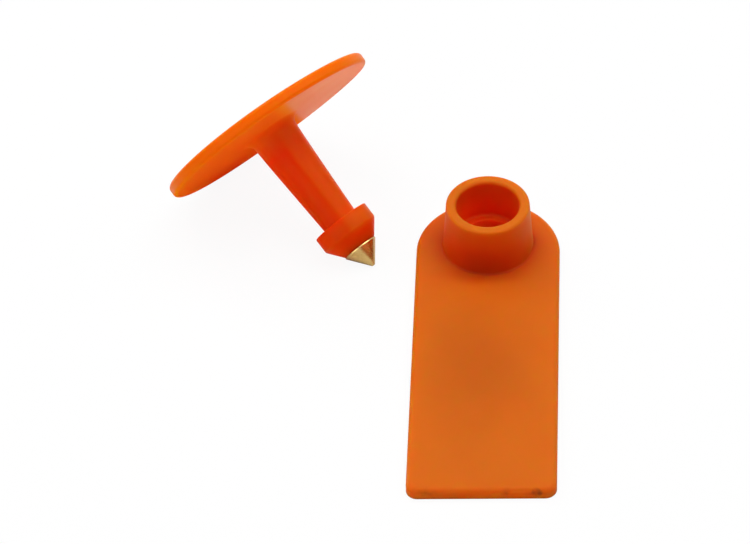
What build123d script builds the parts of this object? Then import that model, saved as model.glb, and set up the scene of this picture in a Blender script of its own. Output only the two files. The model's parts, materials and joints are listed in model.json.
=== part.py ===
"""Livestock ear tag in two halves: a panel with a collar, and a button stud with a brass piercing tip.

Millimetres, +Z up. The origin is on the collar's axis, in the panel's back face, which lies on the ground.
-Y runs along the panel to its free end. The stud lies on its side on the same ground, left of the panel,
and rests there on its disc's rim and on the front of its head.
"""
import os
from math import asin, atan2, cos, hypot, radians, sin, tan

from build123d import *

# Stud: disc, tapered stem and barbed head
disc_diameter = 29.5
disc_rim_thickness = 1.5
disc_rim_round = 0.45
disc_hub_diameter = 10.0     # flat middle of the outer face
disc_hub_rise = 0.5          # how much thicker the disc is at its hub than at its rim
disc_hub_round = 20.0
stem_root_diameter = 6.3
stem_neck_diameter = 4.68
stem_length = 14.7           # disc's inner face to the barb
stem_root_round = 1.2
stem_neck_round = 0.2
barb_reach = 1.5             # how far the head stands out past the stem's neck
barb_edge_round = 0.12
head_band_length = 2.05
head_shoulder_round = 0.6
cone_half_angle = 38.0       # degrees, of the head and of the tip
pin_bore_diameter = 3.0      # blind bore for the applicator's pin
pin_bore_lip_round = 0.3

# Piercing tip: a turned point with a grooved shank inside the head
tip_diameter = 4.6
tip_proud = 0.06             # how far the tip's base stands out past the head's cone
tip_seat_width = 0.5         # ring of the tip's base that bears on the head, around the shank
tip_land_length = 0.15       # straight edge at the tip's base
tip_edge_round = 0.05
tip_nose_diameter = 0.4
tip_nose_round = 0.15
shank_length = 4.0
groove_width = 1.2
groove_depth = 0.4

# Collar: a tapered ring on the panel, with a cup that takes the stud's head
collar_height = 6.75         # above the panel's front face
collar_rim_width = 1.26      # wall at the mouth
collar_flare = 0.45          # how much wider the ring's radius is at its foot than at its mouth
collar_root_round = 0.3
collar_rim_round = 0.3
cup_lip_round = 0.4
cup_clearance = 0.12         # around the stud's head
cup_floor_round = 0.4
ledge_thickness = 2.8        # back face to the ledge that the head's barb catches on
hole_clearance = 0.56        # around the stem's neck, where it passes through the ledge
hole_lip_round = 0.2

# Panel: a flat strip with a semicircular end around the collar
panel_thickness = 1.6
panel_side_margin = 3.33     # collar's foot to the panel's side
panel_end_margin = 2.28      # collar's foot to the panel's round end
panel_reach = 42.05          # collar's axis to the panel's free end
panel_corner_radius = 1.4    # in plan, at the free end
panel_front_round = 0.6      # edge of the front face
panel_back_round = 0.15      # edge of the back face

# Where the stud lies
stud_gap = 5.48              # panel's side to the tip's nose
stud_nose_y = -3.34
stud_heading = -44.75        # degrees from +X, in plan

# Sizes that follow
disc_radius = disc_diameter / 2
neck_radius = stem_neck_diameter / 2
head_radius = neck_radius + barb_reach
hole_radius = neck_radius + hole_clearance
cup_radius = head_radius + cup_clearance
collar_top = panel_thickness + collar_height
collar_top_radius = cup_radius + collar_rim_width
collar_foot_radius = collar_top_radius + collar_flare
panel_side = collar_foot_radius + panel_side_margin
panel_end = collar_foot_radius + panel_end_margin
tip_radius = tip_diameter / 2
shank_radius = tip_radius - tip_seat_width
cone_slope = tan(radians(cone_half_angle))
shoulder_height = stem_length + head_band_length
seat_height = shoulder_height + (head_radius + tip_proud - tip_radius) / cone_slope
cone_start = seat_height + tip_land_length
nose_height = cone_start + (tip_diameter - tip_nose_diameter) / 2 / cone_slope
shank_end = seat_height - shank_length


def within(wall, wanted_round, share=0.45):
    """The wanted round, or the share of the wall that each of the two rounds on it may take up."""
    return min(wanted_round, wall * share)


def turned(*corners):
    """Solid of revolution about Z. Each corner of its section is (radius, height, corner round)."""
    points = [(radius, 0, height) for radius, height, _ in corners]
    section = FilletPolyline(*points, radius=[corner_round for _, _, corner_round in corners], close=True)
    return revolve(make_face(section), Axis.Z)


def panel_strip():
    """Flat strip, with a hole of the cup's size that the collar's own section fills up to the stem hole."""
    end_centre_y = panel_end - panel_side
    corner = panel_corner_radius
    outline = Curve() + [
        Line((-panel_side, end_centre_y), (-panel_side, corner - panel_reach)),
        RadiusArc((-panel_side, corner - panel_reach), (corner - panel_side, -panel_reach), -corner),
        Line((corner - panel_side, -panel_reach), (panel_side - corner, -panel_reach)),
        RadiusArc((panel_side - corner, -panel_reach), (panel_side, corner - panel_reach), -corner),
        Line((panel_side, corner - panel_reach), (panel_side, end_centre_y)),
        ThreePointArc((panel_side, end_centre_y), (0, panel_end), (-panel_side, end_centre_y)),
    ]
    strip = extrude(make_face(outline), panel_thickness, dir=(0, 0, 1))
    strip = fillet(strip.faces().sort_by(Axis.Z)[-1].edges(), within(panel_thickness, panel_front_round))
    strip = fillet(strip.faces().sort_by(Axis.Z)[0].edges(), within(panel_thickness, panel_back_round))
    return strip - extrude(Circle(cup_radius), panel_thickness)


def collar():
    """Tapered ring from the back face up, with the cup, the ledge and the stem hole in its section."""
    skirt_radius = collar_foot_radius + 2 * collar_root_round
    ledge_width = cup_radius - hole_radius
    hole_lip = within(ledge_width, hole_lip_round)
    return turned(
        (hole_radius, 0, hole_lip),
        (skirt_radius, 0, 0),
        (skirt_radius, panel_thickness, 0),
        (collar_foot_radius, panel_thickness, collar_root_round),
        (collar_top_radius, collar_top, within(collar_rim_width, collar_rim_round)),
        (cup_radius, collar_top, within(collar_rim_width, cup_lip_round)),
        (cup_radius, ledge_thickness, within(ledge_width, cup_floor_round)),
        (hole_radius, ledge_thickness, hole_lip),
    )


def tag_panel():
    """Front half of the tag: strip and collar, moulded as one."""
    return panel_strip() + collar()


def piercing_tip():
    """Turned point on a shank with one groove, on the stud's axis, with the disc's inner face at zero."""
    groove_middle = seat_height - shank_length / 2
    groove_bottom = groove_middle - groove_width / 2
    groove_top = groove_middle + groove_width / 2
    groove_radius = shank_radius - groove_depth
    return turned(
        (0, shank_end, 0),
        (shank_radius, shank_end, 0),
        (shank_radius, groove_bottom, 0),
        (groove_radius, groove_bottom, 0),
        (groove_radius, groove_top, 0),
        (shank_radius, groove_top, 0),
        (shank_radius, seat_height, 0),
        (tip_radius, seat_height, 0),
        (tip_radius, cone_start, within(tip_land_length, tip_edge_round)),
        (tip_nose_diameter / 2, nose_height, within(tip_nose_diameter, tip_nose_round)),
        (0, nose_height, 0),
    )


def button_stud(tip):
    """Back half of the tag, on its own axis: disc, stem and head, moulded around the tip's shank."""
    bore_radius = pin_bore_diameter / 2
    hub_face = -disc_rim_thickness - disc_hub_rise
    rim_round = within(disc_rim_thickness, disc_rim_round)
    body = turned(
        (bore_radius, hub_face, pin_bore_lip_round),
        (disc_hub_diameter / 2, hub_face, disc_hub_round),
        (disc_radius, -disc_rim_thickness, rim_round),
        (disc_radius, 0, rim_round),
        (stem_root_diameter / 2, 0, stem_root_round),
        (neck_radius, stem_length, stem_neck_round),
        (head_radius, stem_length, barb_edge_round),
        (head_radius, shoulder_height, within(head_band_length, head_shoulder_round)),
        (tip_radius - tip_proud, seat_height, 0),
        (0, seat_height, 0),
        (0, shank_end, 0),
        (bore_radius, shank_end, 0),
    )
    return body - tip


def dip_to(axial, radius, edge_round):
    """Angle by which the stem dips when the disc's rim and the given round edge both touch the ground.

    The edge is a circle in section, with its centre at the axial distance and radius given. The ground is
    the common tangent below that circle and the one of the rim.
    """
    rim_round = within(disc_rim_thickness, disc_rim_round)
    run = axial + rim_round
    drop = disc_radius - rim_round - radius
    return atan2(drop, run) + asin((rim_round - edge_round) / hypot(run, drop))


def lying_plane():
    """Plane on the disc's inner face, with Z along the stem, of the stud as it lies on the ground."""
    rim_round = within(disc_rim_thickness, disc_rim_round)
    shoulder_round = within(head_band_length, head_shoulder_round)
    shoulder_setback = shoulder_round * tan(radians(cone_half_angle) / 2)
    dip = min(
        dip_to(shoulder_height - shoulder_setback, head_radius - shoulder_round, shoulder_round),
        dip_to(cone_start, tip_radius, 0),
        dip_to(nose_height, tip_nose_diameter / 2, 0),
    )
    heading = radians(stud_heading)
    axis = Vector(cos(heading) * cos(dip), sin(heading) * cos(dip), -sin(dip))
    nose_x = -panel_side - stud_gap
    height = (disc_radius - rim_round) * cos(dip) + rim_round * (1 - sin(dip))
    foot = Vector(nose_x - nose_height * axis.X, stud_nose_y - nose_height * axis.Y, height)
    return Plane(origin=foot, x_dir=(-sin(heading), cos(heading), 0), z_dir=axis)


upright_tip = piercing_tip()
lying = lying_plane().location
nodes = {
    "tag_panel": tag_panel(),
    "button_stud": lying * button_stud(upright_tip),
    "piercing_tip": lying * upright_tip,
}

os.makedirs("parts", exist_ok=True)
for name, solid in nodes.items():
    export_step(solid, f"parts/{name}.step")
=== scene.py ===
"""Livestock ear tag on a pale studio floor: a panel with a collar, and a button stud with a brass point.

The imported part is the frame: metres, +Z up, the origin on the collar's axis in the panel's back face.
Each of its nodes is replaced by a finer surface of the same form, worked out with numpy, and finished in
orange plastic or brass.
"""
import json
from math import cos, radians, sin, tan

import bpy
import numpy as np
from bpy.props import FloatProperty, FloatVectorProperty, PointerProperty
from mathutils import Matrix, Vector


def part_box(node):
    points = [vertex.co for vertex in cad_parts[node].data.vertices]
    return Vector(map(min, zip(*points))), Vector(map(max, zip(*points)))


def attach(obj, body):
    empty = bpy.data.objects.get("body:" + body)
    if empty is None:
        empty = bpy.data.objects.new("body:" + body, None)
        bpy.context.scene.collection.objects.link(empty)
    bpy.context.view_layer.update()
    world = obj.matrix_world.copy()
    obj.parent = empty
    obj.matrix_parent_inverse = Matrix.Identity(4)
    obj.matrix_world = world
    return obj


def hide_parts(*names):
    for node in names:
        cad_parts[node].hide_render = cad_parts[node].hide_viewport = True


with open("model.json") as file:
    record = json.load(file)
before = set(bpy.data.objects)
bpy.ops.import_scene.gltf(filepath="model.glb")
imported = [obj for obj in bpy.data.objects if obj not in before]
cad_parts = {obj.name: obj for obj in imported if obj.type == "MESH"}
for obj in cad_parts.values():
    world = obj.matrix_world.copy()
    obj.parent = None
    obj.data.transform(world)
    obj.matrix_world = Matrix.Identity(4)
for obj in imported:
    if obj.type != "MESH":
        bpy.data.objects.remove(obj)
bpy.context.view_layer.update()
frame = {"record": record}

bl_info = {
    "name": "Livestock ear tag",
    "version": (1, 0, 0),
    "blender": (4, 5, 0),
    "location": "View3D > Sidebar > Ear tag",
    "description": "Builds an unfitted two-piece ear tag, its finishes and a small studio",
    "category": "Add Mesh",
}

MM = 0.001
FULL_TURN = 2 * np.pi
mounts = {mount["name"]: mount for mount in frame["record"]["mounts"]}
panel_low, panel_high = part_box("tag_panel")

# Points around the stud, and around its brass point.
STUD_STEPS, POINT_STEPS = 256, 192
# How far red, green and blue light go inside the plastic, as shares of the red's travel.
TRAVEL_SHARES = (1.0, 0.11, 0.03)
# Tint of the plastic's sheen.
SHEEN_TINT = (1.0, 1.0, 0.65, 1.0)
# What the mottling leaves of the plastic's green, and what it adds to the roughness.
MOTTLED_GREEN, MOTTLED_ROUGHNESS = 0.93, 0.06
# Raggedness of the panel's soft marks and of its crumbly ones.
SOFT, CRUMBLY = 60.0, 1400.0
# A Mix node has sockets of the same name for numbers, vectors and colours. These are its colours.
FIRST_COLOUR, SECOND_COLOUR, MIXED_COLOUR = 6, 7, 2
# How white the camera sees the floor near the tag, and what the floor's grain leaves of its colour.
NEAR_WHITE, FLOOR_GRAIN = 0.93, 0.985


def bore_radius(mount):
    """Radius of one of the record's bores, in millimetres."""
    return mounts[mount]["dims"]["r_mm"]


def length(name, millimetres, description):
    """A size in the sidebar, given here in millimetres and kept in metres."""
    return FloatProperty(
        name=name, description=description, default=millimetres * MM, subtype="DISTANCE", precision=5)


def angle(name, degrees, description):
    """An angle in the sidebar, given here in degrees and kept in radians."""
    return FloatProperty(name=name, description=description, default=radians(degrees), subtype="ANGLE")


def colour(name, rgb, description):
    """A linear colour in the sidebar."""
    return FloatVectorProperty(
        name=name, description=description, default=rgb, size=3, min=0, max=1, subtype="COLOR")


class PanelSizes(bpy.types.PropertyGroup):
    """Sizes of the flat panel and of the collar on it."""

    thickness: length("Thickness", 1.6, "Back face to front face")
    side: length("Half width", panel_high.x / MM, "Collar's axis to the panel's long side")
    end: length("Round end", panel_high.y / MM, "Collar's axis to the tip of the round end")
    reach: length("Reach", -panel_low.y / MM, "Collar's axis to the free end")
    corner: length("Corner radius", 1.4, "Corners of the free end, in plan")
    front_round: length("Front edge", 0.6, "Rounding of the front face's edge")
    back_round: length("Back edge", 0.15, "Rounding of the back face's edge")
    skew: FloatProperty(
        name="Skew", description="Slope by which the free end is out of square", default=0.022)
    collar_top: length("Collar top", panel_high.z / MM, "Back face to the collar's mouth")
    collar_mouth: length("Collar mouth", 5.22, "Outer radius of the collar at its mouth")
    collar_foot: length("Collar foot", 5.67, "Outer radius of the collar at the panel")
    root_round: length("Collar root", 0.3, "Fillet between the collar and the panel")
    rim_round: length("Collar rim", 0.3, "Rounding of the mouth's outer edge")
    cup: length("Cup radius", bore_radius("collar_cup"), "Inside of the collar")
    lip_round: length("Cup lip", 0.4, "Rounding of the mouth's inner edge")
    ledge: length("Ledge height", 2.8, "Back face to the ledge inside the collar")
    floor_round: length("Cup floor", 0.4, "Fillet between the cup's wall and the ledge")
    hole: length("Hole radius", bore_radius("stem_hole"), "Hole that the stem passes through")
    hole_round: length("Hole lip", 0.2, "Rounding of the hole's edges")


class StudSizes(bpy.types.PropertyGroup):
    """Sizes of the stud's disc, stem and head, along its own axis from the disc's inner face."""

    disc: length("Disc radius", 14.75, "Radius of the disc")
    rim: length("Rim thickness", 1.5, "Thickness of the disc at its rim")
    rim_round: length("Rim round", 0.45, "Rounding of the rim's edges")
    hub: length("Hub radius", 5.0, "Flat middle of the outer face")
    hub_rise: length("Hub rise", 0.5, "Extra thickness at the hub")
    hub_round: length("Hub round", 20.0, "Blend between the hub and the outer face")
    root: length("Stem root radius", 3.15, "Stem's radius at the disc")
    root_round: length("Stem root round", 1.2, "Fillet between the stem and the disc")
    neck: length("Neck radius", 2.34, "Stem's radius behind the barb")
    neck_round: length("Neck round", 0.2, "Fillet between the neck and the barb")
    barb_at: length("Barb height", 14.7, "Disc's inner face to the barb")
    head: length("Head radius", 3.84, "Radius of the barb and its band")
    barb_round: length("Barb edge", 0.12, "Rounding of the barb's edge")
    band: length("Band length", 2.05, "Length of the straight band behind the cone")
    shoulder_round: length("Shoulder round", 0.6, "Rounding between the band and the cone")
    bore: length("Bore radius", bore_radius("applicator_pin_bore"), "Blind bore for the applicator's pin")
    bore_round: length("Bore lip", 0.3, "Rounding of the bore's mouth")
    disc_lean: angle("Disc lean", -0.457, "How far the soft disc leans from square, sideways")
    disc_nod: angle("Disc nod", -0.612, "How far the soft disc leans about its rim's lowest point")
    disc_twist: FloatProperty(
        name="Disc twist", description="Warp of the soft disc, in radians a metre", default=-1.0)
    disc_shift: length("Disc shift", -0.19, "Bore's stated axis to the disc's middle, sideways")
    stem_lean: angle("Stem lean", 1.384, "How far the soft stem leans from the bore's stated axis, sideways")
    lean_run: length("Lean run", 6.0, "Length of stem over which the disc's lean turns into the stem's")


class PointSizes(bpy.types.PropertyGroup):
    """Sizes of the turned brass point and its shank inside the head."""

    base: length("Base radius", 2.3, "Radius of the point's base")
    proud: length("Proud", 0.06, "How far the base stands out past the head's cone")
    land: length("Land", 0.15, "Straight edge at the base")
    land_round: length("Land round", 0.05, "Rounding of the base's edge")
    nose: length("Nose radius", 0.2, "Flat at the tip")
    nose_round: length("Nose round", 0.15, "Rounding of the tip")
    half_angle: angle("Cone half angle", 38.0, "Of the point and of the head")
    shank: length("Shank radius", 1.8, "Part held inside the head")
    shank_length: length("Shank length", 4.0, "Length of the part inside the head")
    groove: length("Groove width", 1.2, "Groove around the shank, which the plastic fills")
    groove_depth: length("Groove depth", 0.4, "Depth of that groove")
    hidden_round: length("Hidden edges", 0.04, "Rounding of the edges inside the head")


class Finishes(bpy.types.PropertyGroup):
    """Colours of the two plastics and of the brass, some of which are painted shade, painted light or
    painted sheen.
    """

    # The thin stud colour is also the colour of the painted sheen on the right of the disc's inner face.
    stud: colour("Stud", (0.985, 0.26, 0.008), "Stud where it is thin")
    stud_deep: colour("Deep stud", (0.985, 0.042, 0.0003), "Stud where it is thick")
    stud_rim: colour("Stud rim", (0.88, 0.16, 0.001), "Rim of the stud's disc")
    panel: colour("Panel", (0.645, 0.152, 0.003), "Panel where it is thin")
    # The deep panel colour is also what the painted shade at the collar leans towards.
    panel_deep: colour("Deep panel", (0.645, 0.042, 0.0005), "Panel where it is thick")
    panel_rim: colour("Panel rim", (0.57, 0.15, 0.003), "Outer edges of the panel")
    # Painted shade: darker red on the front of the collar's wall, towards its foot.
    wall: colour("Wall", (0.50, 0.034, 0.0005), "Foot of the collar's wall")
    # Painted shade: the deep red inside the collar's recess.
    cup: colour("Cup", (0.97, 0.056, 0.0005), "Inside of the collar")
    # Painted light: the brighter face of the panel's free end.
    edge: colour("Edge", (0.85, 0.115, 0.002), "Face of the panel's free end")
    # Darker in the middle of the panel.
    darker_middle: colour("Darker", (0.55, 0.106, 0.002), "Duller middle of the panel")
    grime: colour("Grime", (0.15, 0.035, 0.003), "Smudges along the panel's free end")
    brass: colour("Brass", (0.62, 0.44, 0.165), "Bright turned brass")
    tarnish: colour("Tarnish", (0.54, 0.36, 0.12), "Brass where it has dulled")


def softbox_settings(name, bearing, height, distance, size, power):
    """Property group of a square lamp that faces the tag, placed by its bearing and height."""
    return type(name, (bpy.types.PropertyGroup,), {"__annotations__": {
        "bearing": angle("Bearing", bearing, "Direction from the tag to the lamp, from +X towards +Y"),
        "height": angle("Height", height, "Angle of the lamp above the floor"),
        "distance": length("Distance", distance, "Lamp to tag"),
        "size": length("Size", size, "Side of the lamp's square"),
        "power": FloatProperty(
            name="Power", description="Radiant power", default=power, min=0, unit="POWER"),
    }})


LeftSoftbox = softbox_settings("LeftSoftbox", bearing=140, height=45, distance=600, size=450, power=1.45)
RightSoftbox = softbox_settings("RightSoftbox", bearing=5, height=58, distance=600, size=450, power=1.42)
TopSoftbox = softbox_settings("TopSoftbox", bearing=90, height=85, distance=600, size=600, power=2.5)
FrontSoftbox = softbox_settings("FrontSoftbox", bearing=235, height=18, distance=600, size=450, power=0.9)


class StageSettings(bpy.types.PropertyGroup):
    """Camera and floor."""

    camera_height: angle("Camera height", 44.3253, "Angle of the view above the floor")
    camera_bearing: angle("Camera bearing", 3.8602, "Angle of the view around the tag")
    camera_roll: angle("Camera roll", -2.2637, "Turn of the camera about its own axis")
    camera_distance: length("Camera distance", 520.975, "Camera to the point that it looks at")
    lens: FloatProperty(
        name="Lens", description="Focal length on a 36 mm sensor", default=199.17, unit="CAMERA")
    looks_at: FloatVectorProperty(
        name="Looks at", description="Point on the floor in the middle of the view",
        default=(-14.154 * MM, -3.775 * MM, 0), size=3, subtype="TRANSLATION")
    floor: colour("Floor", (0.90, 0.90, 0.90), "Colour of the floor")
    floor_radius: length("Floor radius", 6000, "Size of the round floor")
    floor_gap: length("Floor gap", 0.01, "Hair's breadth between the floor and the tag")


def unit(vectors):
    """Vectors divided by their own lengths."""
    return vectors / np.linalg.norm(vectors, axis=-1, keepdims=True)


def ease(t):
    """Share that starts and stops gently: 3t^2 - 2t^3, with t held between 0 and 1."""
    t = np.clip(t, 0, 1)
    return 3 * t ** 2 - 2 * t ** 3


def around(steps):
    """Angles of evenly spaced points around a full turn."""
    return FULL_TURN * np.arange(steps) / steps


def section(corners, run_steps, closed=True, arc_steps=8):
    """Line through corners (across, height, round), as an array of points.

    At each corner p, with turn 2w and tangent points a and b, the arc is the rational curve
    ((1-t)^2 a + 2t(1-t) cos(w) p + t^2 b) / ((1-t)^2 + 2t(1-t) cos(w) + t^2), which is part of a circle.
    Each straight run between two arcs is b + (a - b) (1 - cos(pi s)) / 2, so its points crowd towards its
    ends. An open line leaves out its two end points.
    """
    table = np.array(corners, float)
    p, rounds = table[:, :2], table[:, 2:]
    arriving = unit(p - np.roll(p, 1, 0))
    leaving = np.roll(arriving, -1, 0)
    half_turn = np.arccos(np.clip((arriving * leaving).sum(1, keepdims=True), -1, 1)) / 2
    setback = rounds * np.tan(half_turn)
    a, b, weight = p - arriving * setback, p + leaving * setback, np.cos(half_turn)[:, None]
    t = np.linspace(0, 1, arc_steps)[:, None]
    near, middle, far = (1 - t) ** 2, 2 * t * (1 - t) * weight, t ** 2
    arcs = (near * a[:, None] + middle * p[:, None] + far * b[:, None]) / (near + middle + far)
    pieces = []
    for k, steps in enumerate(run_steps):
        following = (k + 1) % len(p)
        share = (1 - np.cos(np.pi * np.linspace(0, 1, steps + 2)[1:-1, None])) / 2
        pieces += [b[k] + (a[following] - b[k]) * share, arcs[following]]
    return np.concatenate(pieces if closed else pieces[:-1])


def closed_faces(rows, columns):
    """Quads of a grid that joins up with itself both ways, like the skin of a ring."""
    here = np.arange(rows * columns).reshape(rows, columns)
    right = np.roll(here, -1, 1)
    return np.stack([here, right, np.roll(right, -1, 0), np.roll(here, -1, 0)], -1).reshape(-1, 4)


def capped_faces(rows, columns):
    """Quads of a grid that joins up along its rows only, and fans to one more point at each end."""
    here = np.arange(columns)
    right, last, pole = np.roll(here, -1), (rows - 1) * columns, rows * columns
    first_fan = np.column_stack([right, here, np.full(columns, pole)])
    last_fan = np.column_stack([here + last, right + last, np.full(columns, pole + 1)])
    return [closed_faces(rows, columns)[:-columns], first_fan, last_fan]


def add_piece(name, points, faces, node, slot, material, **values):
    """Mesh object in place of a CAD node, riding where the node does, with its faces turned outwards.

    Each of the values is kept at the points under its name, for the material. The sum of p0 . (p1 x p2) over
    the triangles is six times the volume, and is negative where faces point inwards.
    """
    triangles = np.concatenate([
        part[:, [0, k, k + 1]] for part in faces for k in range(1, part.shape[1] - 1)])
    p0, p1, p2 = points[triangles].transpose(1, 0, 2)
    inside_out = (np.cross(p1, p2) * p0).sum() < 0
    mesh = bpy.data.meshes.new(name)
    mesh.from_pydata(
        points.tolist(), [], [f for part in faces for f in (part[:, ::-1] if inside_out else part).tolist()])
    mesh.shade_smooth()
    mesh.materials.append(material)
    for label, value in values.items():
        mesh.attributes.new(label, "FLOAT", "POINT").data.foreach_set("value", value)
    piece = bpy.data.objects.new(name, mesh)
    bpy.context.scene.collection.objects.link(piece)
    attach(piece, "root")
    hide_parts(node)


def panel_outline(sizes, end_steps=170, side_steps=60, corner_steps=14, free_steps=40):
    """Points of the panel's outline, and the outward normal at each, from the right side over the round end.

    The round end is a half circle as wide as the panel. The sides run down to two corner arcs, with the
    free end between them.
    """
    centre = np.array([0, sizes.end - sizes.side])
    free_y = sizes.corner - sizes.reach

    def arc(middle, radius, start, stop, steps):
        turn = np.linspace(start, stop, steps, endpoint=False)[:, None]
        normal = np.hstack([np.cos(turn), np.sin(turn)])
        return middle + radius * normal, normal

    def run(start, stop, normal, steps):
        share = np.linspace(0, 1, steps, endpoint=False)[:, None]
        return start + (np.array(stop) - start) * share, np.broadcast_to(normal, (steps, 2))

    inner = sizes.side - sizes.corner
    pieces = [
        arc(centre, sizes.side, 0, np.pi, end_steps),
        run(np.array([-sizes.side, centre[1]]), (-sizes.side, free_y), (-1, 0), side_steps),
        arc(np.array([-inner, free_y]), sizes.corner, np.pi, 1.5 * np.pi, corner_steps),
        run(np.array([-inner, -sizes.reach]), (inner, -sizes.reach), (0, -1), free_steps),
        arc(np.array([inner, free_y]), sizes.corner, 1.5 * np.pi, 2 * np.pi, corner_steps),
        run(np.array([sizes.side, free_y]), (sizes.side, centre[1]), (1, 0), side_steps),
    ]
    return [np.concatenate(part) for part in zip(*pieces)]


def panel_points(sizes):
    """Grid of the panel with its collar: the section's points times the outline's points.

    The section goes around the wall: back face, edge, front face, collar, cup, ledge and hole. Its edge is a
    stand-in for the outline, wherever that lies. Up to the skirt around the collar's foot, a point is its
    distance from the collar's axis times the direction of the outline point. From the skirt to the edge it
    moves on a straight line to the outline point, less an inset along the normal. Points at y < 0 then move
    by k y (side - x) / reach, so that the free end is out of square by the slope k.
    """
    outline, normal = panel_outline(sizes)
    skirt = sizes.collar_foot + 2 * sizes.root_round
    edge = skirt + sizes.reach / 2
    across, height = section(
        [
            (sizes.hole, 0, sizes.hole_round),
            (edge, 0, sizes.back_round),
            (edge, sizes.thickness, sizes.front_round),
            (sizes.collar_foot, sizes.thickness, sizes.root_round),
            (sizes.collar_mouth, sizes.collar_top, sizes.rim_round),
            (sizes.cup, sizes.collar_top, sizes.lip_round),
            (sizes.cup, sizes.ledge, sizes.floor_round),
            (sizes.hole, sizes.ledge, sizes.hole_round),
        ],
        run_steps=(30, 3, 60, 16, 4, 14, 4, 6),
    ).T
    inset = np.clip(edge - across, 0, sizes.front_round)
    share = np.clip((across - skirt) / (edge - sizes.front_round - skirt), 0, 1)
    radius = np.minimum(across, skirt)
    plan = ((1 - share) * radius)[:, None, None] * unit(outline) + share[:, None, None] * (
        outline - inset[:, None, None] * normal)
    x, y = plan[..., 0], plan[..., 1]
    skewed = y + sizes.skew / sizes.reach * np.minimum(y, 0) * (sizes.side - x)
    return np.dstack([x, skewed, np.broadcast_to(height[:, None], x.shape)])


def panel_depth_and_shade(points, sizes):
    """How thick the plastic looks at each of the panel's points, from 0 to 1, with painted shade at the
    collar.

    The strip has a plain depth, and painted shade around the collar: a halo and a crease that fall off as
    exp(-d / run) at a distance d from its foot. At a distance r from the collar's axis, its wall has painted
    shade, half - half y / r - left x / r, deepest at the front and a touch deeper on the left, times a share
    that goes from half to 1 over a run below the rim. Near the strip it has at least foot exp(-h / run) at a
    height h, painted shade in the fillet. The cup has one depth, painted shade in the recess. Both fade to 0
    at the rim.
    """
    # The plain value is the strip's own; the halo, crease, wall, foot and cup values paint shade at the
    # collar.
    plain = 0.15
    halo, halo_run = 0.42, 2.5 * MM
    crease, crease_run = 0.4, 0.6 * MM
    half, left, shade_run = 0.5, 0.1, 4 * MM
    foot, foot_run = 0.97, 0.7 * MM
    cup, rim_run = 0.85, 0.6 * MM
    x, y, z = points.T
    away, below = np.hypot(x, y), sizes.collar_top - z
    past = np.maximum(away - sizes.collar_foot, 0)
    strip = plain + halo * np.exp(-past / halo_run) + crease * np.exp(-past / crease_run)
    inside = away < sizes.cup + sizes.lip_round
    wall = (half - (half * y + left * x) / away) * (half + half * np.clip(below / shade_run, 0, 1))
    wall = np.maximum(wall, foot * np.exp((sizes.thickness - z) / foot_run))
    collar = np.where(inside, cup, wall) * np.clip(below / rim_run, 0, 1)
    return np.where(inside | (z > sizes.thickness), collar, np.clip(strip, 0, 1))


def panel_rim(points, sizes):
    """How near each of the panel's points is to its long sides or round end: 1 there, 0 past a short run.

    The collar's rim has a lesser value, which goes to 0 over the same run below it.
    """
    run, collar_rim = 0.6 * MM, 0.6
    x, y, z = points.T
    away = np.hypot(x, np.maximum(y - sizes.end + sizes.side, 0))
    side, mouth = (np.clip(1 - gap / run, 0, 1) for gap in (sizes.side - away, sizes.collar_top - z))
    return np.maximum(side, collar_rim * mouth)


def panel_marks(sizes, finishes):
    """Marks on the panel, among them painted shade and painted light: the colour, middle, size, raggedness
    and strength of each.
    """
    free_end, front = -sizes.reach, sizes.thickness
    # Middle of the painted shade on the collar's front.
    wall = (0, -sizes.collar_foot, front + 1 * MM)
    soft_marks = [
        # Darker in the middle of the panel.
        (finishes.darker_middle, (0, -21 * MM, front), (10 * MM, 24 * MM, 3 * MM), SOFT, 1.0),
        # Painted shade: darker red on the front of the collar's wall.
        (finishes.wall, wall, (9 * MM, 3 * MM, 4.5 * MM), SOFT, 1.0),
        # Painted shade: deep red inside the collar, as a recess looks.
        (finishes.cup, (0, 0, 4.5 * MM), (6.5 * MM, 6.5 * MM, 5 * MM), SOFT, 1.0),
        # Painted light: a brighter face on the free end.
        (finishes.edge, (0, free_end, 0.4 * MM), (40 * MM, 0.8 * MM, 1.3 * MM), SOFT, 1.0),
    ]
    # Each smudge's place across the free end and its width, both in millimetres, and its strength.
    smudges = ((6.9, 0.8, 0.65), (6.2, 0.7, 0.5), (6.5, 1.6, 0.3), (-6.9, 2.2, 0.4), (2.9, 0.8, 0.35))
    smudge_height, smudge_depth, below_front = 0.7 * MM, 0.8 * MM, 0.55 * MM
    return soft_marks + [
        (finishes.grime, (x * MM, free_end, front - below_front), (wide * MM, smudge_depth, smudge_height),
         CRUMBLY, strength)
        for x, wide, strength in smudges]


def lying_stud(stud, point):
    """Disc's inner-face centre, and the stud's own axes as columns: sideways, up the disc, along the stem.

    The record's bore gives the axis. It runs from the hub's face to the shank's end, and its stated place is
    its middle.
    """
    bore = mounts["applicator_pin_bore"]
    along = -unit(np.array(bore["axis"], float))
    sideways = unit(np.cross((0, 0, 1), along))
    middle = (stud_heights(stud, point)["shank_end"] - stud.rim - stud.hub_rise) / 2
    centre = np.array(bore["pos_m"]) - middle * along
    return centre, np.column_stack([sideways, np.cross(along, sideways), along])


def stud_heights(stud, point):
    """Heights along the stud's axis that follow from the sizes of the head and the point."""
    slope = tan(point.half_angle)
    shoulder = stud.barb_at + stud.band
    seat = shoulder + (stud.head + point.proud - point.base) / slope
    cone = seat + point.land
    return {
        "shoulder": shoulder,
        "seat": seat,
        "cone": cone,
        "nose": cone + (point.base - point.nose) / slope,
        "shank_end": seat - point.shank_length,
    }


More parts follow.
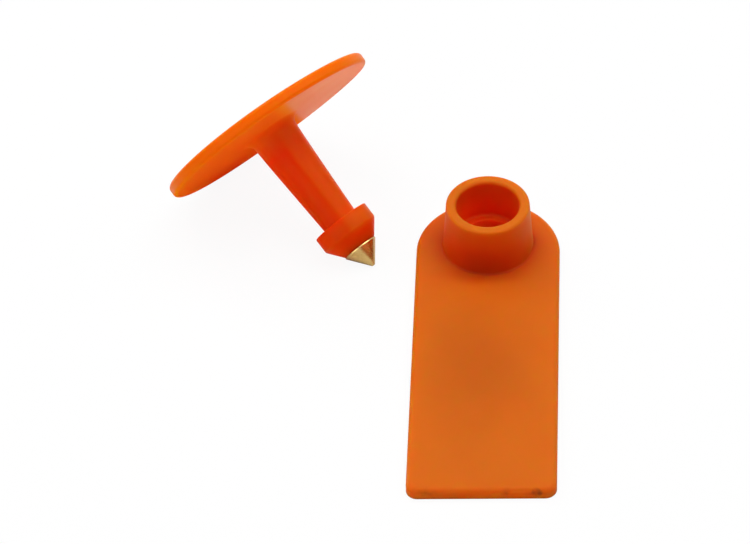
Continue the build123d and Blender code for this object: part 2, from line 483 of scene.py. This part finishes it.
def turned_points(line, stud, point, steps):
    """Section line turned about the stud's axis, leaned as the soft stem leans, and laid as the stud lies.

    With s = 3t^2 - 2t^3 and t = z / run from 0 to 1, the lean at height z is a = a0 + (a1 - a0) s. The axis
    there has moved sideways by the integral of a. A point at x sideways and y up has dropped along the axis
    by x a, and by what is left of the disc's nod n and twist w, (1 - s)(n (y + R) + w x y), where R is the
    disc's radius.
    """
    turn = around(steps)
    radius, height = line[:, :1], line[:, 1:]
    sideways, up = radius * np.cos(turn), radius * np.sin(turn)
    t = np.clip(height / stud.lean_run, 0, 1)
    share = ease(t)
    change = stud.stem_lean - stud.disc_lean
    lean = stud.disc_lean + change * share
    moved = stud.disc_shift + stud.disc_lean * height + change * (
        stud.lean_run * (t ** 3 - t ** 4 / 2) + np.maximum(height - stud.lean_run, 0))
    bent = stud.disc_nod * (up + stud.disc) + stud.disc_twist * sideways * up
    drop = sideways * lean + (1 - share) * bent
    centre, axes = lying_stud(stud, point)
    return centre + np.dstack([sideways + moved, up, height - drop]) @ axes.T


def shank_corners(point, at):
    """Corners of the shank's side from its seat down to its end: the groove lies half-way."""
    middle, half = at["seat"] - point.shank_length / 2, point.groove / 2
    bottom = point.shank - point.groove_depth
    edge = point.hidden_round
    return [
        (point.shank, at["seat"], edge),
        (point.shank, middle + half, edge),
        (bottom, middle + half, edge),
        (bottom, middle - half, edge),
        (point.shank, middle - half, edge),
        (point.shank, at["shank_end"], edge),
    ]


def stud_line(stud, point):
    """Whole section of the stud, from the bore's mouth around the disc, stem, head and back up the bore."""
    at = stud_heights(stud, point)
    hub_face = -stud.rim - stud.hub_rise
    return section(
        [
            (stud.bore, hub_face, stud.bore_round),
            (stud.hub, hub_face, stud.hub_round),
            (stud.disc, -stud.rim, stud.rim_round),
            (stud.disc, 0, stud.rim_round),
            (stud.root, 0, stud.root_round),
            (stud.neck, stud.barb_at, stud.neck_round),
            (stud.head, stud.barb_at, stud.barb_round),
            (stud.head, at["shoulder"], stud.shoulder_round),
            (point.base - point.proud, at["seat"], point.hidden_round),
            *shank_corners(point, at),
            (stud.bore, at["shank_end"], point.hidden_round),
        ],
        run_steps=(6, 14, 3, 30, 30, 4, 8, 10, 3, 3, 3, 3, 3, 3, 3, 12),
    )


def stud_values(line, stud, point, steps):
    """What the plastic is told at each of the stud's points: rim, depth, travel of red light and roughness.

    The rim is exp(-d / run) at a distance d from the disc's edge. The depth goes up to 1 on the head's cone,
    in straight lines between the heights of a table. With e(t) = 3t^2 - 2t^3, t from 0 to 1 and
    c = cos(turn - right), it is less by a share e(c / blend) on the right side of the stem and the band,
    which is a painted highlight. On the disc's inner face it is less by a share p = e((r c - start) / run),
    which is a painted sheen on its right part, and that face is duller by a share 1 - p^3.
    """
    rim_run = 1 * MM
    # Painted highlight along the right side of the stem and band, and painted sheen on the right of the
    # disc's inner face.
    right_bearing, side_blend = radians(30), 0.25
    sheen_start, sheen_run, painted_sheen_lift = 1.2 * MM, 3 * MM, 0.6
    plain_roughness, dull_roughness = 0.3, 0.65
    shoulder = stud_heights(stud, point)["shoulder"]
    # Height on the axis, depth, what the painted highlight on the right side takes off,
    # share of the inner face that takes the painted sheen, travel in mm.
    places = np.array([
        (-stud.rim, 0.55, 0.0, 0.0, 8.0),
        (stud.rim_round - stud.rim, 0.55, 0.0, 0.0, 4.0),
        (-stud.rim_round, 0.55, 0.0, 0.0, 4.0),
        (0, 0.68, 0.0, 1.0, 12.0),
        (stud.root_round, 0.66, 0.05, 0.0, 12.0),
        (3 * stud.root_round, 0.955, 0.18, 0.0, 3.0),
        (stud.barb_at, 0.955, 0.18, 0.0, 3.0),
        (stud.barb_at + stud.shoulder_round, 0.93, 0.18, 0.0, 10.0),
        (shoulder, 0.93, 0.18, 0.0, 10.0),
        (shoulder + stud.shoulder_round, 1.0, 0.0, 0.0, 3.5),
    ])
    radius, height = line[:, :1], line[:, 1]
    depth, less, face, travel = (
        np.interp(height, places[:, 0], column)[:, None] for column in places.T[1:])
    right = np.cos(around(steps) - right_bearing)
    # Shares of the painted highlight on the right side, and of the painted sheen on the inner face.
    painted_highlight, pale = ease(right / side_blend), ease((radius * right - sheen_start) / sheen_run)
    return {
        "rim": np.repeat(np.exp((radius - stud.disc) / rim_run), steps),
        # Depth less the painted highlight and the painted sheen.
        "depth": (depth - less * painted_highlight - painted_sheen_lift * face * pale).ravel(),
        "travel": np.repeat(travel * MM, steps),
        "roughness": (plain_roughness + dull_roughness * face * (1 - pale ** 3)).ravel(),
    }


def brass_line(stud, point):
    """Section of the brass point, from the middle of its shank's end over the cone to the nose's middle."""
    at = stud_heights(stud, point)
    return section(
        [
            (0, at["shank_end"], 0),
            *reversed(shank_corners(point, at)),
            (point.base, at["seat"], point.hidden_round),
            (point.base, at["cone"], point.land_round),
            (point.nose, at["nose"], point.nose_round),
            (0, at["nose"], 0),
        ],
        run_steps=(4, 3, 3, 3, 3, 3, 3, 3, 40, 3),
        closed=False,
    )


def set_inputs(tree, node, inputs):
    """Feeds a node's inputs, each from a plain value or an output socket."""
    for name, value in inputs.items():
        if isinstance(value, bpy.types.NodeSocket):
            tree.links.new(value, node.inputs[name])
        else:
            node.inputs[name].default_value = value


def add_node(tree, kind, inputs=None, **settings):
    """New node with its settings made and its inputs fed."""
    made = tree.nodes.new(kind)
    for name, value in settings.items():
        setattr(made, name, value)
    set_inputs(tree, made, inputs or {})
    return made


def calculate(tree, operation, *values):
    """Output of a Math node that works on plain values or output sockets."""
    return add_node(tree, "ShaderNodeMath", dict(enumerate(values)), operation=operation).outputs[0]


def calculate_vector(tree, operation, *values):
    """The same with vectors, and both outputs: the vector, and the plain value."""
    return add_node(tree, "ShaderNodeVectorMath", dict(enumerate(values)), operation=operation).outputs


def noise(tree, place, scale, detail, roughness=0.5):
    """Output of a Noise node at a place."""
    return add_node(tree, "ShaderNodeTexNoise", {
        "Vector": place, "Scale": scale, "Detail": detail, "Roughness": roughness}).outputs["Fac"]


def ramp(tree, value, start, stop, top=1.0):
    """Eased value that goes from 0 at the start to its top at the stop."""
    return add_node(
        tree, "ShaderNodeMapRange", {"Value": value, "From Min": start, "From Max": stop, "To Max": top},
        interpolation_type="SMOOTHSTEP").outputs[0]


def blend(tree, factor, first, second):
    """Colour from the first to the second with the factor. Each is an output socket or three numbers."""
    first, second = (c if isinstance(c, bpy.types.NodeSocket) else (*c, 1) for c in (first, second))
    return add_node(
        tree, "ShaderNodeMix", {"Factor": factor, FIRST_COLOUR: first, SECOND_COLOUR: second},
        data_type="RGBA").outputs[MIXED_COLOUR]


def from_points(tree, given):
    """The given value or, where it is a name, what the piece keeps at its points under that name."""
    if isinstance(given, str):
        return add_node(tree, "ShaderNodeAttribute", attribute_name=given).outputs["Fac"]
    return given


def new_group(name, inputs, outputs):
    """Empty shader node group with the given sockets, and its input and output nodes."""
    group = bpy.data.node_groups.new(name, "ShaderNodeTree")
    for socket, (kind, default) in inputs.items():
        made = group.interface.new_socket(socket, in_out="INPUT", socket_type=kind)
        if default is not None:
            made.default_value = default
    for socket in outputs:
        group.interface.new_socket(socket, in_out="OUTPUT", socket_type="NodeSocketFloat")
    return group, group.nodes.new("NodeGroupInput").outputs, group.nodes.new("NodeGroupOutput").inputs


def moulded_surface_group():
    """Unevenness of a moulded or turned surface: slow waves with fine grain on them, and slow mottling."""
    group, given, out = new_group(
        "Moulded surface",
        {
            "Place": ("NodeSocketVector", None),
            "Grain": ("NodeSocketFloat", 2600.0),
            "Grain depth": ("NodeSocketFloat", 0.25),
            "Waves": ("NodeSocketFloat", 130.0),
            "Mottling": ("NodeSocketFloat", 70.0),
        },
        ["Height", "Mottle"],
    )
    grain = noise(group, given["Place"], given["Grain"], detail=3.0)
    waves = noise(group, given["Place"], given["Waves"], detail=1.0)
    mottle = noise(group, given["Place"], given["Mottling"], detail=4.0, roughness=0.55)
    height = calculate(group, "MULTIPLY_ADD", grain, given["Grain depth"], waves)
    group.links.new(height, out["Height"])
    group.links.new(ramp(group, mottle, start=0.35, stop=0.7), out["Mottle"])
    return group


def smudge_group():
    """Ragged mark around one place: full strength in its middle, 0 at its size, broken up by noise."""
    group, given, out = new_group(
        "Smudge",
        {
            "Place": ("NodeSocketVector", None),
            "Middle": ("NodeSocketVector", None),
            "Size": ("NodeSocketVector", (1.0, 1.0, 1.0)),
            "Raggedness": ("NodeSocketFloat", 2200.0),
            "Strength": ("NodeSocketFloat", 1.0),
        },
        ["Mask"],
    )
    noise_share = 1.2
    offset = calculate_vector(group, "SUBTRACT", given["Place"], given["Middle"])[0]
    scaled = calculate_vector(group, "DIVIDE", offset, given["Size"])[0]
    reach = calculate_vector(group, "LENGTH", scaled)["Value"]
    broken = noise(group, given["Place"], given["Raggedness"], detail=4.0)
    ragged = calculate(group, "MULTIPLY_ADD", broken, noise_share, reach)
    group.links.new(ramp(group, ragged, start=1.5, stop=0.6, top=given["Strength"]), out["Mask"])
    return group


def use_group(tree, name, build, inputs):
    """The named group placed in a material, built if it isn't there yet."""
    return add_node(
        tree, "ShaderNodeGroup", inputs, node_tree=bpy.data.node_groups.get(name) or build()).outputs


def empty_tree(owner):
    """Node tree of a material or a world, with nothing in it."""
    owner.use_nodes = True
    owner.node_tree.nodes.clear()
    return owner.node_tree


def new_material(name):
    """Material with an empty node tree, its principled shader and the piece's own coordinates."""
    material = bpy.data.materials.new(name)
    tree = empty_tree(material)
    shader = add_node(tree, "ShaderNodeBsdfPrincipled")
    add_node(tree, "ShaderNodeOutputMaterial", {"Surface": shader.outputs[0]})
    return material, tree, shader, add_node(tree, "ShaderNodeTexCoord").outputs["Object"]


def orange_plastic(name, thin, deep, rim, roughness, shine, travel, marks=()):
    """Soft translucent plastic with a fine moulded grain and slow mottling, redder where it is thick.

    The piece's points say how thick it looks, with painted shade and painted highlights mixed in, and how
    near the rim is. Travel is how far red light goes inside. It and the roughness are plain values, or names
    of values at the points. Each mark is a colour, and its middle, size, raggedness and strength; some marks
    are painted shade or painted light.
    """
    material, tree, shader, place = new_material(name)
    surface = use_group(tree, "Moulded surface", moulded_surface_group, {"Place": place})
    mottled = blend(tree, surface["Mottle"], thin, (thin[0], MOTTLED_GREEN * thin[1], thin[2]))
    # The depth holds painted shade and painted highlights as well as how thick the plastic looks.
    base = blend(tree, from_points(tree, "depth"), mottled, deep)
    base = blend(tree, from_points(tree, "rim"), base, rim)
    # Some of these marks are painted shade or painted light.
    for stain, middle, size, raggedness, strength in marks:
        mark = use_group(tree, "Smudge", smudge_group, {
            "Place": place, "Middle": middle, "Size": size, "Raggedness": raggedness, "Strength": strength})
        base = blend(tree, mark["Mask"], base, stain)
    bump = add_node(
        tree, "ShaderNodeBump", {"Height": surface["Height"], "Strength": 0.5, "Distance": 0.02 * MM})
    set_inputs(tree, shader, {
        "Base Color": base,
        "Roughness": calculate(
            tree, "MULTIPLY_ADD", surface["Mottle"], MOTTLED_ROUGHNESS, from_points(tree, roughness)),
        "Specular IOR Level": shine,
        "Specular Tint": SHEEN_TINT,
        "Subsurface Weight": 1.0,
        "Subsurface Radius": TRAVEL_SHARES,
        "Subsurface Scale": from_points(tree, travel),
        "Normal": bump.outputs[0],
    })
    return material


def turned_brass(finishes):
    """Brass with fine turning rings around its axis and a patchy tarnish."""
    material, tree, shader, place = new_material("Turned brass")
    surface = use_group(
        tree, "Moulded surface", moulded_surface_group, {"Place": place, "Waves": 600.0, "Mottling": 900.0})
    rings = add_node(
        tree, "ShaderNodeTexNoise", {"W": from_points(tree, "along"), "Scale": 9000.0, "Detail": 3.0},
        noise_dimensions="1D")
    bump = add_node(
        tree, "ShaderNodeBump", {"Height": rings.outputs["Fac"], "Strength": 0.25, "Distance": 0.01 * MM})
    rough = add_node(
        tree, "ShaderNodeMapRange", {"Value": surface["Mottle"], "To Min": 0.2, "To Max": 0.28})
    set_inputs(tree, shader, {
        "Base Color": blend(tree, surface["Mottle"], finishes.brass, finishes.tarnish),
        "Metallic": 1.0,
        "Roughness": rough.outputs[0],
        "Normal": bump.outputs[0],
    })
    return material


class EARTAG_OT_panel(bpy.types.Operator):
    """Build the panel with its collar"""

    bl_idname = "eartag.panel"
    bl_label = "Panel and collar"

    def execute(self, context):
        tag = context.scene.eartag
        points = panel_points(tag.panel)
        flat = points.reshape(-1, 3)
        material = orange_plastic(
            "Orange panel plastic", tag.finishes.panel, tag.finishes.panel_deep, tag.finishes.panel_rim,
            roughness=0.48, shine=0.07, travel=3 * MM, marks=panel_marks(tag.panel, tag.finishes))
        add_piece(
            "panel_moulding", flat, [closed_faces(*points.shape[:2])], "tag_panel", "tag_plastic", material,
            depth=panel_depth_and_shade(flat, tag.panel), rim=panel_rim(flat, tag.panel))
        return {"FINISHED"}


class EARTAG_OT_stud(bpy.types.Operator):
    """Build the stud's disc, stem and head"""

    bl_idname = "eartag.stud"
    bl_label = "Button stud"

    def execute(self, context):
        tag = context.scene.eartag
        line = stud_line(tag.stud, tag.point)
        points = turned_points(line, tag.stud, tag.point, STUD_STEPS)
        material = orange_plastic(
            "Orange stud plastic", tag.finishes.stud, tag.finishes.stud_deep, tag.finishes.stud_rim,
            roughness="roughness", shine=0.03, travel="travel")
        add_piece(
            "stud_moulding", points.reshape(-1, 3), [closed_faces(*points.shape[:2])],
            "button_stud", "tag_plastic", material, **stud_values(line, tag.stud, tag.point, STUD_STEPS))
        return {"FINISHED"}


class EARTAG_OT_point(bpy.types.Operator):
    """Build the brass point in the stud's head"""

    bl_idname = "eartag.point"
    bl_label = "Brass point"

    def execute(self, context):
        tag = context.scene.eartag
        points = turned_points(brass_line(tag.stud, tag.point), tag.stud, tag.point, POINT_STEPS)
        flat = np.concatenate([points.reshape(-1, 3), points[[0, -1]].mean(1)])
        centre, axes = lying_stud(tag.stud, tag.point)
        add_piece(
            "brass_point", flat, capped_faces(*points.shape[:2]), "piercing_tip", "tip_brass",
            turned_brass(tag.finishes), along=(flat - centre) @ axes[:, 2])
        return {"FINISHED"}


def seen_rays(tree, path):
    """1 for what is seen straight, in a shiny surface or through a clear one, and 0 for light on the tag."""
    shiny = calculate(tree, "MAXIMUM", path["Is Glossy Ray"], path["Is Transmission Ray"])
    return calculate(tree, "MAXIMUM", path["Is Camera Ray"], shiny)


def pale_floor(stage, middle):
    """Matte pale floor that takes the tag's shadow.

    The camera sees it nearly white close to the tag, and all white further out, where shiny surfaces do too.
    """
    material = bpy.data.materials.new("Pale floor")
    tree = empty_tree(material)
    path = add_node(tree, "ShaderNodeLightPath").outputs
    place = add_node(tree, "ShaderNodeTexCoord").outputs["Object"]
    away = calculate_vector(tree, "DISTANCE", place, tuple(middle))["Value"]
    grain = noise(tree, place, scale=900.0, detail=2.0)
    paper = blend(tree, grain, tuple(stage.floor), tuple(FLOOR_GRAIN * c for c in stage.floor))
    far = ramp(tree, away, start=50 * MM, stop=160 * MM)
    seen = calculate(
        tree, "MAXIMUM", calculate(tree, "MULTIPLY", path["Is Camera Ray"], NEAR_WHITE),
        calculate(tree, "MULTIPLY", far, seen_rays(tree, path)))
    mixed = add_node(tree, "ShaderNodeMixShader", {
        0: seen,
        1: add_node(tree, "ShaderNodeBsdfDiffuse", {"Color": paper}).outputs[0],
        2: add_node(tree, "ShaderNodeEmission", {"Strength": 1.0}).outputs[0]})
    add_node(tree, "ShaderNodeOutputMaterial", {"Surface": mixed.outputs[0]})
    return material


def add_floor(stage):
    """Round flat floor: rings at radius R s^2 around the point that the camera looks at."""
    rings, steps = 24, 96
    turn = around(steps)
    radius = stage.floor_radius * np.linspace(0, 1, rings + 1)[1:, None] ** 2
    middle = np.array(stage.looks_at) - (0, 0, stage.floor_gap)
    points = middle + np.dstack([radius * np.cos(turn), radius * np.sin(turn), np.zeros((rings, steps))])
    quads = closed_faces(rings, steps)[:-steps, ::-1]
    inner = np.arange(steps)
    fan = np.column_stack([np.full(steps, rings * steps), np.roll(inner, 1), inner])
    mesh = bpy.data.meshes.new("floor")
    mesh.from_pydata([*points.reshape(-1, 3).tolist(), middle.tolist()], [], quads.tolist() + fan.tolist())
    mesh.materials.append(pale_floor(stage, middle))
    floor = bpy.data.objects.new("floor", mesh)
    bpy.context.scene.collection.objects.link(floor)


def add_softbox(name, box, target):
    """Square area lamp with its -Z towards the target, seen in reflections but not by the camera."""
    level = cos(box.height)
    towards = Vector((level * cos(box.bearing), level * sin(box.bearing), sin(box.height)))
    place = Vector(target) + towards * box.distance
    turn = (Vector(target) - place).to_track_quat("-Z", "Y")
    lamp = bpy.data.lights.new(name, "AREA")
    lamp.size, lamp.energy = box.size, box.power
    holder = bpy.data.objects.new(name, lamp)
    holder.matrix_world = Matrix.Translation(place) @ turn.to_matrix().to_4x4()
    holder.visible_camera = False
    bpy.context.scene.collection.objects.link(holder)


def add_world():
    """Studio around the floor: white where it is seen, and dark as a light."""
    world = bpy.data.worlds.new("Studio")
    bpy.context.scene.world = world
    tree = empty_tree(world)
    path = add_node(tree, "ShaderNodeLightPath").outputs
    background = add_node(
        tree, "ShaderNodeBackground", {"Color": (1, 1, 1, 1), "Strength": seen_rays(tree, path)})
    add_node(tree, "ShaderNodeOutputWorld", {"Surface": background.outputs[0]})


def add_camera(stage, far_limit=100):
    """Camera looking down at the floor from its bearing and height, rolled about its own axis."""
    level = cos(stage.camera_height)
    back = Vector((
        sin(stage.camera_bearing) * level, -cos(stage.camera_bearing) * level, sin(stage.camera_height)))
    right = (-back).cross((0, 0, 1)).normalized()
    axes = Matrix((right, back.cross(right), back)).transposed().to_4x4()
    lens = bpy.data.cameras.new("camera")
    lens.lens, lens.clip_end = stage.lens, far_limit
    camera = bpy.data.objects.new("camera", lens)
    place = Vector(stage.looks_at) + back * stage.camera_distance
    camera.matrix_world = Matrix.Translation(place) @ axes @ Matrix.Rotation(stage.camera_roll, 4, "Z")
    bpy.context.scene.collection.objects.link(camera)
    bpy.context.scene.camera = camera


class EARTAG_OT_stage(bpy.types.Operator):
    """Build the floor, the lamps, the surrounding light and the camera"""

    bl_idname = "eartag.stage"
    bl_label = "Stage"

    def execute(self, context):
        tag = context.scene.eartag
        add_floor(tag.stage)
        for name in ("left_box", "right_box", "top_box", "front_box"):
            add_softbox(name, getattr(tag, name), tag.stage.looks_at)
        add_world()
        add_camera(tag.stage)
        context.scene.view_settings.view_transform = "Standard"
        # Light bounces many times inside the thin plastic, and between it and the floor.
        context.scene.cycles.diffuse_bounces = 12
        return {"FINISHED"}


class EarTag(bpy.types.PropertyGroup):
    """Everything that can be changed on the tag and its stage."""

    panel: PointerProperty(type=PanelSizes)
    stud: PointerProperty(type=StudSizes)
    point: PointerProperty(type=PointSizes)
    finishes: PointerProperty(type=Finishes)
    stage: PointerProperty(type=StageSettings)
    left_box: PointerProperty(type=LeftSoftbox)
    right_box: PointerProperty(type=RightSoftbox)
    top_box: PointerProperty(type=TopSoftbox)
    front_box: PointerProperty(type=FrontSoftbox)


class EARTAG_PT_sidebar(bpy.types.Panel):
    """Buttons for each piece and the stage, with their sizes"""

    bl_label = "Ear tag"
    bl_space_type = "VIEW_3D"
    bl_region_type = "UI"
    bl_category = "Ear tag"

    def draw(self, context):
        tag = context.scene.eartag
        for operator, groups in builders.items():
            self.layout.operator(operator.bl_idname)
            for group in groups:
                sizes = getattr(tag, group)
                for name in sizes.__annotations__:
                    self.layout.prop(sizes, name)


builders = {
    EARTAG_OT_panel: ("panel", "finishes"),
    EARTAG_OT_stud: ("stud",),
    EARTAG_OT_point: ("point",),
    EARTAG_OT_stage: ("stage", "left_box", "right_box", "top_box", "front_box"),
}
classes = (
    PanelSizes, StudSizes, PointSizes, Finishes, LeftSoftbox, RightSoftbox, TopSoftbox, FrontSoftbox,
    StageSettings, EarTag, *builders, EARTAG_PT_sidebar)


def register():
    """Makes the settings, the operators and the sidebar known to Blender."""
    for kind in classes:
        bpy.utils.register_class(kind)
    bpy.types.Scene.eartag = PointerProperty(type=EarTag)


def unregister():
    """Takes them out again, in the opposite order."""
    del bpy.types.Scene.eartag
    for kind in reversed(classes):
        bpy.utils.unregister_class(kind)


def main():
    """Builds every piece and the stage in order."""
    register()
    bpy.ops.eartag.panel()
    bpy.ops.eartag.stud()
    bpy.ops.eartag.point()
    bpy.ops.eartag.stage()


if __name__ == "__main__":
    main()
